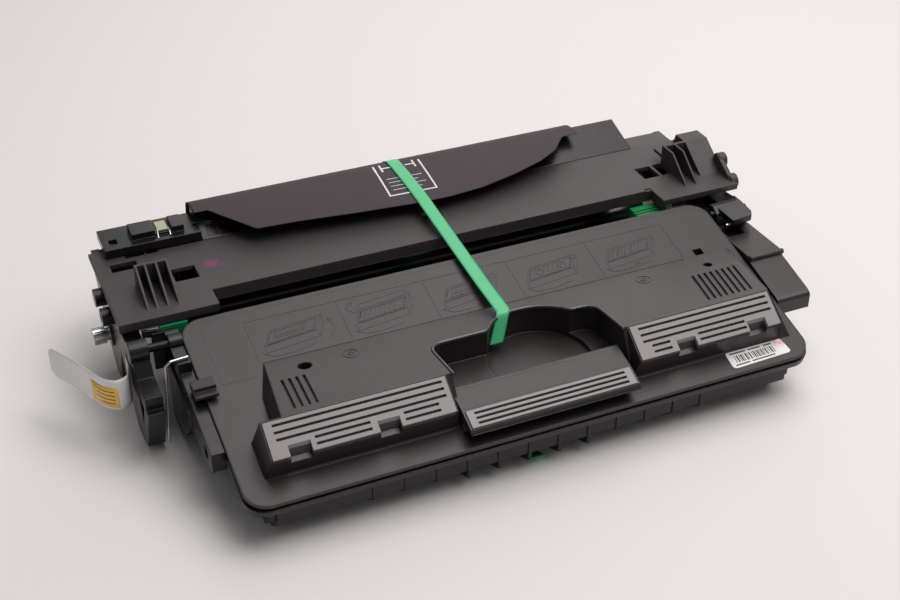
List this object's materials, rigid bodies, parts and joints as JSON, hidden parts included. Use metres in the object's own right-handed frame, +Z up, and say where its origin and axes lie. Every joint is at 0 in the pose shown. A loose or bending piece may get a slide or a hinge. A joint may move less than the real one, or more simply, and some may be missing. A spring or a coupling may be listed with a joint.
{
  "type": "laser printer toner cartridge",
  "caption": "Wide black toner cartridge: sloped hopper lid with hand recess and ribbed pads, drum unit with top bar, packing sheet and green tape.",
  "frame": {"origin": "on the surface the cartridge lies on, under the middle of the hopper lid's back edge", "axes": "+X along the drum to the gear end, +Y from the handle to the drum side, +Z up"},
  "size_m": [0.4554, 0.2472, 0.0843],
  "materials": {
    "black_body": "matt moulded plastic",
    "satin_lid": "fine textured plastic",
    "grey_pad": "textured grey plastic",
    "seal_film": "satin film",
    "sleeve": "blasted and coated aluminium",
    "white_gear": "natural acetal",
    "magnet": "moulded ferrite",
    "steel": "plated sheet steel",
    "blade_rubber": "smooth rubber",
    "clear_film": "clear film",
    "green_guide": "glossy green plastic",
    "drum_coat": "coated aluminium tube",
    "chrome": "polished plating",
    "roller_rubber": "fine rubber",
    "packing_paper": "dull dark paper",
    "packing_tape": "glossy packing tape"
  },
  "bodies": {
    "cartridge": {"hopper_frame": "black_body", "hopper_lid": "satin_lid", "grip_pad_left": "grey_pad", "grip_pad_right": "grey_pad", "handle_grip": "grey_pad", "left_end_cap": "black_body", "left_end_clip": "satin_lid", "right_end_cover": "satin_lid", "gear_cover": "black_body", "fill_plug": "satin_lid", "seal_film": "seal_film", "pull_tab": "seal_film", "magnet_core": "magnet", "bushing_left": "white_gear", "bushing_right": "white_gear", "blade_bracket": "steel", "doctor_blade": "blade_rubber", "blade_screw_left": "steel", "blade_screw_right": "steel", "idler_pin": "steel", "edge_guide_left": "green_guide", "edge_guide_right": "green_guide", "waste_bin": "black_body", "bin_cover": "black_body", "top_bar": "satin_lid", "end_plate_left": "black_body", "end_plate_right": "black_body", "side_arm_left": "black_body", "side_arm_right": "black_body", "drum_pin_left": "chrome", "drum_pin_right": "chrome", "saddle_left": "white_gear", "saddle_right": "white_gear", "saddle_spring_left": "chrome", "saddle_spring_right": "chrome", "wiper_bracket": "steel", "wiper_blade": "blade_rubber", "hinge_pin_left": "chrome", "hinge_pin_right": "chrome", "contact_wire": "chrome", "contact_block": "black_body", "contact_strip": "chrome", "packing_sheet": "packing_paper", "packing_tape": "packing_tape"},
    "drum": {"drum_tube": "drum_coat", "drum_hub": "white_gear", "drum_gear": "white_gear"},
    "charge_roller": {"charge_shaft": "steel", "charge_rubber": "roller_rubber"},
    "developer": {"developer_sleeve": "sleeve", "developer_gear": "white_gear"},
    "idler": {"idler_gear": "white_gear"},
    "agitator": {"agitator_shaft": "white_gear", "agitator_sheet": "clear_film", "agitator_gear": "white_gear"}
  },
  "joints": [
    {"name": "drum_spin", "type": "hinge", "parent": "cartridge", "child": "drum", "pos_m": [0, 0.062, 0.027], "axis": [1, 0, 0], "continuous": true},
    {"name": "charge_spin", "type": "hinge", "parent": "cartridge", "child": "charge_roller", "pos_m": [0, 0.06777, 0.04854], "axis": [1, 0, 0], "continuous": true},
    {"name": "developer_spin", "type": "hinge", "parent": "cartridge", "child": "developer", "pos_m": [0, 0.03853, 0.01704], "axis": [1, 0, 0], "continuous": true},
    {"name": "idler_spin", "type": "hinge", "parent": "cartridge", "child": "idler", "pos_m": [0, 0.01149, 0.02205], "axis": [1, 0, 0], "continuous": true},
    {"name": "agitator_spin", "type": "hinge", "parent": "cartridge", "child": "agitator", "pos_m": [0, -0.02127, 0.02607], "axis": [1, 0, 0], "continuous": true}
  ],
  "couplings": [
    {"joint": "charge_spin", "follows": "drum_spin", "ratio": -2.1429},
    {"joint": "developer_spin", "follows": "drum_spin", "ratio": -1.6842},
    {"joint": "idler_spin", "follows": "drum_spin", "ratio": 0.88889},
    {"joint": "agitator_spin", "follows": "drum_spin", "ratio": -1.0667}
  ]
}
